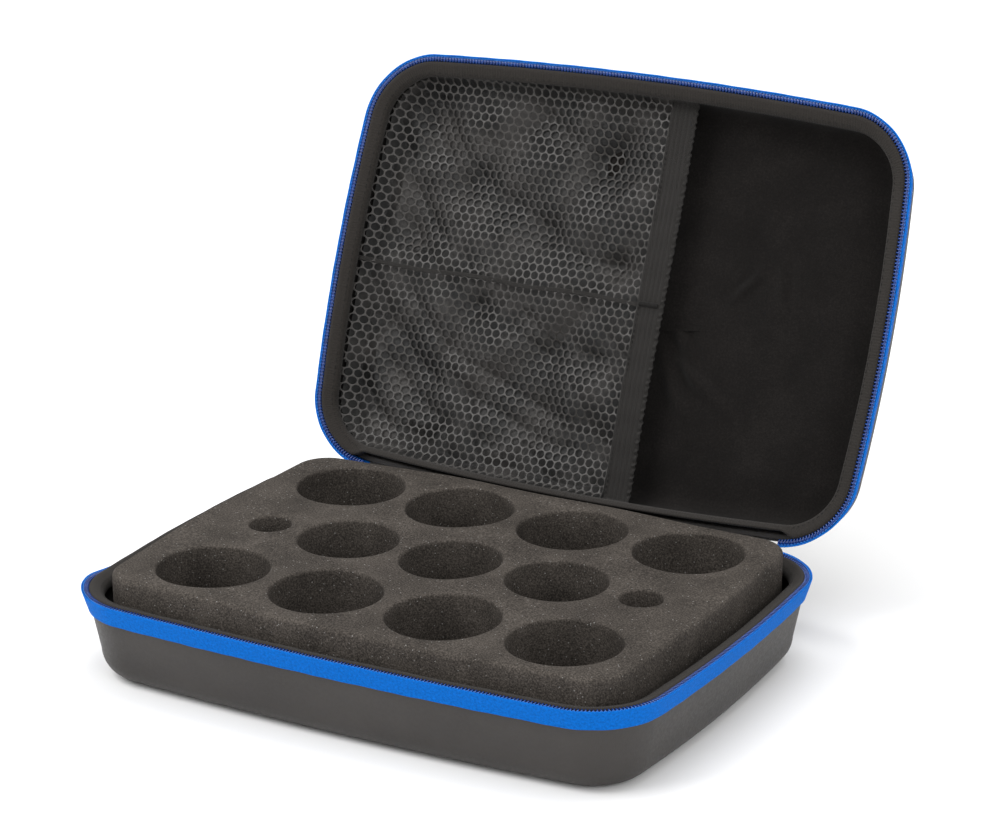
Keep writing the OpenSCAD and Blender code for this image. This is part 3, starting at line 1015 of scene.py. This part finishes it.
def buildPocketCloth():  # loose nylon behind the net, in soft sharp folds
    look = {"left": -128.4, "right": 13.0, "reach": 89.6, "columns": 250, "rows": 330,
            "least": 0.9, "deepest": 22.0}

    def place(u, v):
        x = look["left"] + (look["right"] - look["left"]) * u
        y = look["reach"] * (2 * v - 1)
        wx = x + 7 * np.sin(y / 19 + 0.7) + 3 * np.sin(y / 8 + x / 31)
        wy = y + 6 * np.sin(x / 17 + 1.9) + 2 * np.sin(x / 7)
        creases = 3.4 * np.abs(np.sin(wx / 15 + wy / 31)) + 2.6 * np.abs(np.sin(wy / 12 - wx / 37 + 0.5))
        creases = creases + 1.2 * np.abs(np.sin(wx / 6.5 - wy / 9 + 1.1))
        depth = 20.0 - creases - 6.0 * resting(x, y)
        rim = np.clip(insetAt(x, y), 0, 60)
        depth = np.minimum(depth, 9.0 + 1.25 * np.maximum(rim - 8.6, 0))
        depth = np.clip(depth, netDepth(x, y) + look["least"], look["deepest"])
        return openLid(np.column_stack([x, y, case["zipHeight"] + depth])), np.column_stack([x, y])

    mesh = bentGrid("pocketCloth", look["columns"], look["rows"], place)
    bm = bmesh.new()
    bm.from_mesh(mesh)
    outside = []
    for f in bm.faces:
        c = f.calc_center_median() / mm
        back = openLid(np.array([[c.x, c.y, c.z]]), -hinge["open"])
        if insetAt(back[:, 0], back[:, 1])[0] < 8.9:
            outside.append(f)
    bmesh.ops.delete(bm, geom=outside, context="FACES")
    bmesh.ops.recalc_face_normals(bm, faces=bm.faces)
    bm.to_mesh(mesh)
    bm.free()
    made = piece("pocketCloth", mesh, "lid", [finishes["backing"]])


buildPocketCloth()
buildNet("netFront", -94.0, pocket["seamY"] - 0.6, ["pocket_mesh_upper"])
buildNet("netBack", pocket["seamY"] + 0.6, 92.0, ["pocket_mesh_lower"])
print("net made")


def buildSeam():
    look = {"half": 1.0, "thick": 0.45, "columns": 260}
    left = -129.0
    right = pocket["right"] - pocket["elastic"] + 1.5
    ring = dense(softened([[-look["half"], 0], [look["half"], 0], [look["half"], look["thick"]],
                           [-look["half"], look["thick"]]], 0.2, 2), 0.6)
    rows = len(ring) - 1

    def place(u, v):
        row = np.rint(v * rows).astype(int)
        x = left + (right - left) * u
        y = pocket["seamY"] + ring[row, 0] + 0.5 * np.sin(x / 9)
        depth = netDepth(x, y) - 0.35 + ring[row, 1] + 0.12 * np.sin(x / 1.1)
        return openLid(np.column_stack([x, y, case["zipHeight"] + depth])), np.column_stack([x, ring[row, 0]])

    mesh = sew(bentGrid("pocketSeam", look["columns"], rows, place))
    return piece("pocketSeam", mesh, "lid", [finishes["elastic"]], ["pocket_seam_tape"])


def buildElastic():
    look = {"ribs": 5, "ribHeight": 0.35, "thick": 1.0, "columns": 560, "reach": 91.0, "frill": 1.6}
    wide = pocket["elastic"]
    steps = 44
    across = np.linspace(0, wide, steps + 1)
    ribs = np.abs(np.sin(math.pi * across / (wide - look["frill"]) * look["ribs"])) * look["ribHeight"]
    ribs[across > wide - look["frill"]] = 0.0
    front = [[a, -r] for a, r in zip(across, ribs)]
    behind = [[wide, look["thick"] * 0.5], [wide - look["frill"], look["thick"]]]
    behind += [[0.2, look["thick"]], [0, 0.5]]
    ring = np.array(front + behind + front[:1])
    rows = len(ring) - 1

    def place(u, v):
        row = np.rint(v * rows).astype(int)
        y = -look["reach"] + 2 * look["reach"] * u
        edge = smooth((ring[row, 0] - (wide - look["frill"] - 0.4)) / 1.2)
        wave = np.sin(y * 1.9 + 1.6 * np.sin(y / 6.1)) + 0.4 * np.sin(y * 3.1 + 0.4)
        x = pocket["right"] - wide + 0.2 + ring[row, 0] - 0.2 * np.sin(y / 17) + 0.13 * edge * wave
        depth = pocket["depth"] + 0.35 + ring[row, 1] + edge * 0.3 * (wave - 0.4)
        depth = depth + 0.12 * np.sin(y / 2.1) + 0.25 * np.sin(y / 11)
        ends = smooth((np.abs(y) - 88.3) / 2.2)
        depth = depth - ends * 4.2
        return openLid(np.column_stack([x, y, case["zipHeight"] + depth])), np.column_stack([y, ring[row, 0]])

    mesh = sew(bentGrid("pocketElastic", look["columns"], rows, place))
    return piece("pocketElastic", mesh, "lid", [finishes["elastic"]], ["pocket_elastic"])


def buildPocketStitches():
    count = 70
    path = [(-0.75, 0, 0.3), (-0.4, 0, -0.12), (0.4, 0, -0.12), (0.75, 0, 0.3)]
    template = wire("pocketThread", path, 0.2, 5)

    def place(points, number):
        y = -87 + 174 * (number + 0.5) / count + points[:, 0]
        x = pocket["right"] - pocket["elastic"] + 1.4 + points[:, 1] - 0.2 * np.sin(y / 17)
        return openLid(np.column_stack([x, y, case["zipHeight"] + pocket["depth"] + 0.1 + points[:, 2]]))

    stitches = repeated("pocketStitches", template, count, place)
    piece("pocketStitches", stitches, "lid", [finishes["thread"]])
    template = wire("tackThread", [(0, -0.9, 0.3), (0, -0.7, -0.3), (0, 0.7, -0.3), (0, 0.9, 0.3)], 0.3, 6)

    def tack(points, number):
        x = pocket["right"] - pocket["elastic"] + 1.6 + number * 0.62 + points[:, 0]
        y = pocket["seamY"] + points[:, 1]
        return openLid(np.column_stack([x, y, case["zipHeight"] + pocket["depth"] - 0.1 + points[:, 2]]))

    piece("elasticTack", repeated("elasticTack", template, 15, tack), "lid", [finishes["thread"]],
          ["pocket_elastic_tack"])


buildSeam()
buildElastic()
buildPocketStitches()
print("pocket made")


# hinge cloth
def buildFlap(name, lid, body, stands):
    profile = dense(softened([[2.3, 6.7], [2.95, 6.7], [4.1, 10.4], [4.28, 12], [5.2, 16.8], [4.5, 16.8],
                              [3.5, 12], [3.25, 10.4]], 0.25, 2), 1.2)
    mesh = sweepRim(name, profile, 320, 1 - zipStart, 1 + zipStart, lid)
    made = piece(name, mesh, body, [finishes["cloth"]], stands)


def buildHingeWeb():
    look = {"half": 52.0, "thick": 0.55, "columns": 120}
    steps = 22

    def spine(x, t):  # from the base's back wall, past the hinge line, to the lid's
        middle = case["halfDepth"] + case["bowDepth"] * (1 - (x / case["halfWidth"]) ** 2)
        foot = np.column_stack([x, middle - 3.9, x * 0 + case["zipHeight"] - 10.5])
        below = np.column_stack([x, middle - 2.1, x * 0 + case["zipHeight"] - 5.6])
        knee = np.column_stack([x, x * 0 + hinge["y"], x * 0 + hinge["z"]])
        footUp = foot.copy()
        footUp[:, 2] = 2 * case["zipHeight"] - foot[:, 2]
        belowUp = below.copy()
        belowUp[:, 2] = 2 * case["zipHeight"] - below[:, 2]
        footUp = openLid(footUp)
        belowUp = openLid(belowUp)
        stations = [foot, below, knee, belowUp, footUp]
        out = np.zeros_like(foot)
        s = t * 4
        for k in range(4):
            here = (s >= k) & (s <= k + 1)
            f = (s[here] - k)[:, None]
            out[here] = stations[k][here] * (1 - f) + stations[k + 1][here] * f
        return out

    def place(u, v):
        x = -look["half"] + 2 * look["half"] * u
        loop = v * 2
        near = loop <= 1
        t = np.where(near, loop, 2 - loop)
        points = spine(x, t)
        ahead = spine(x, np.minimum(t + 0.02, 1)) - spine(x, np.maximum(t - 0.02, 0))
        normal = np.column_stack([ahead[:, 0] * 0, -ahead[:, 2], ahead[:, 1]])
        normal /= np.linalg.norm(normal, axis=1)[:, None]
        points = points + normal * np.where(near, 0.5, -0.5)[:, None] * look["thick"]
        return points, np.column_stack([x, t * 20])

    mesh = sew(bentGrid("hingeWeb", look["columns"], steps * 2, place))
    made = piece("hingeWeb", mesh, None, [finishes["cloth"]])
    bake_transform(made)


buildFlap("baseHingeFlap", False, "base", ["hinge_flap_lower"])
buildFlap("lidHingeFlap", True, "lid", ["hinge_flap_upper"])
buildHingeWeb()
print("hinge made")


# zip ends
def dressNode(name, finish):
    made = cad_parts[name]
    made.data.materials.clear()
    made.data.materials.append(finish)


def buildChain(side, turn):  # two rows of closed teeth on a narrow tape, between the two halves of the case
    look = {"from": 58.2, "to": 98.8, "pitch": 1.5, "filament": 0.32, "half": 2.55, "thick": 0.35,
            "wave": 0.05, "columns": 200}
    half = look["half"]
    name = "zipChain" + side.capitalize()

    def place(along, across, through):
        flat = np.column_stack([turn * along, hinge["y"] + through, hinge["z"] + across])
        return openLid(flat, hinge["open"] / 2)

    path = [(-0.3, -0.7, 0.2), (-0.3, -0.4, 0.72), (-0.12, 1.2, 0.74), (0.05, 2.2, 0.5), (0.12, 2.42, 0),
            (0.2, 2.2, -0.5), (0.3, 1.2, -0.74), (0.42, -0.2, -0.6)]
    template = wire(name + "Loop", path, look["filament"], 6)
    count = int((look["to"] - look["from"]) / look["pitch"] * 2) - 1

    def teeth(points, number):
        flip = np.where(number % 2 == 0, 1, -1)
        along = look["from"] + 0.9 + number * look["pitch"] / 2 + points[:, 0]
        return place(along, flip * points[:, 1], flip * points[:, 2])

    made = repeated(name, template, count, teeth)
    ring = dense(softened([[-half, -look["thick"]], [half, -look["thick"]], [half, look["thick"]],
                           [-half, look["thick"]]], 0.15, 2), 0.5)
    rows = len(ring) - 1

    def strip(u, v):
        row = np.rint(v * rows).astype(int)
        along = look["from"] + (look["to"] - look["from"]) * u
        through = ring[row, 1] + look["wave"] * np.sin(along * 2 * math.pi / look["pitch"])
        return place(along, ring[row, 0], through), np.column_stack([along, ring[row, 0]])

    core = sew(bentGrid(name + "Core", look["columns"], rows, strip))
    bm = bmesh.new()
    bm.from_mesh(core)
    taped = len(bm.faces)
    bm.from_mesh(made)
    bm.faces.ensure_lookup_table()
    for f in bm.faces[taped:]:
        f.material_index = 1
    bm.to_mesh(made)
    bm.free()
    looks = [finishes["tape"], finishes["coil"]]
    piece(name, made, "chain_" + side, looks, ["zip_chain_" + side])


for side, turn in (("left", -1), ("right", 1)):
    dressNode("slider_" + side, finishes["slider"])
    dressNode("zip_stop_" + side, finishes["stop"])
    dressNode("pull_tab_" + side, finishes["pull"])
    buildChain(side, turn)
print("zip ends made")


# floor, light and camera
def buildStage():
    look = {"size": 14.0, "colour": (0.86, 0.86, 0.86)}
    bm = bmesh.new()
    bmesh.ops.create_grid(bm, x_segments=1, y_segments=1, size=look["size"] / 2)
    mesh = bpy.data.meshes.new("floor")
    bm.to_mesh(mesh)
    bm.free()
    floor = bpy.data.objects.new("floor", mesh)
    bpy.context.scene.collection.objects.link(floor)
    finish = finishOf("paleFloor", look["colour"], 0.9, Specular_IOR_Level=0.1)
    spot = placeOn(finish)
    spread(finish, noiseOn(finish, spot, 400, 2), [(0.3, 0.85), (0.7, 0.88)])
    mesh.materials.append(finish)
    world = bpy.data.worlds.new("studio")
    bpy.context.scene.world = world
    world.use_nodes = True
    world.node_tree.nodes["Background"].inputs["Color"].default_value = (1, 1, 1, 1)
    world.node_tree.nodes["Background"].inputs["Strength"].default_value = 0.9


def addLight(name, place, aim, size, power):
    data = bpy.data.lights.new(name, "AREA")
    data.shape = "RECTANGLE"
    data.size = size[0]
    data.size_y = size[1]
    data.energy = power
    light = bpy.data.objects.new(name, data)
    bpy.context.scene.collection.objects.link(light)
    light.location = place
    light.rotation_mode = "QUATERNION"
    light.rotation_quaternion = (Vector(aim) - Vector(place)).to_track_quat("-Z", "Y")


def buildCamera():
    look = {"azimuth": 29.43, "elevation": 19.28, "roll": 0.32, "far": 1.6178,
            "aim": (-0.0662, 0.1625, 0.048), "lens": 126.0}
    a = math.radians(look["azimuth"])
    e = math.radians(look["elevation"])
    back = Vector((math.sin(a) * math.cos(e), -math.cos(a) * math.cos(e), math.sin(e)))
    data = bpy.data.cameras.new("camera")
    data.lens = look["lens"]
    data.sensor_width = 36.0
    camera = bpy.data.objects.new("camera", data)
    bpy.context.scene.collection.objects.link(camera)
    camera.location = Vector(look["aim"]) + back * look["far"]
    camera.rotation_mode = "QUATERNION"
    facing = (-back).to_track_quat("-Z", "Y")
    roll = Matrix.Rotation(math.radians(-look["roll"]), 3, back).to_quaternion()
    camera.rotation_quaternion = roll @ facing
    bpy.context.scene.camera = camera


buildStage()
addLight("keyLight", (-0.9, -1.0, 1.6), (0, 0.05, 0.05), (1.2, 1.2), 26)
addLight("fillLight", (1.4, -0.9, 0.9), (0, 0.05, 0.08), (1.0, 1.0), 9)
addLight("topLight", (0.2, 0.4, 1.9), (0, 0.1, 0.05), (1.4, 1.0), 16)
buildCamera()
bpy.context.scene.view_settings.view_transform = "Standard"
print("stage made")
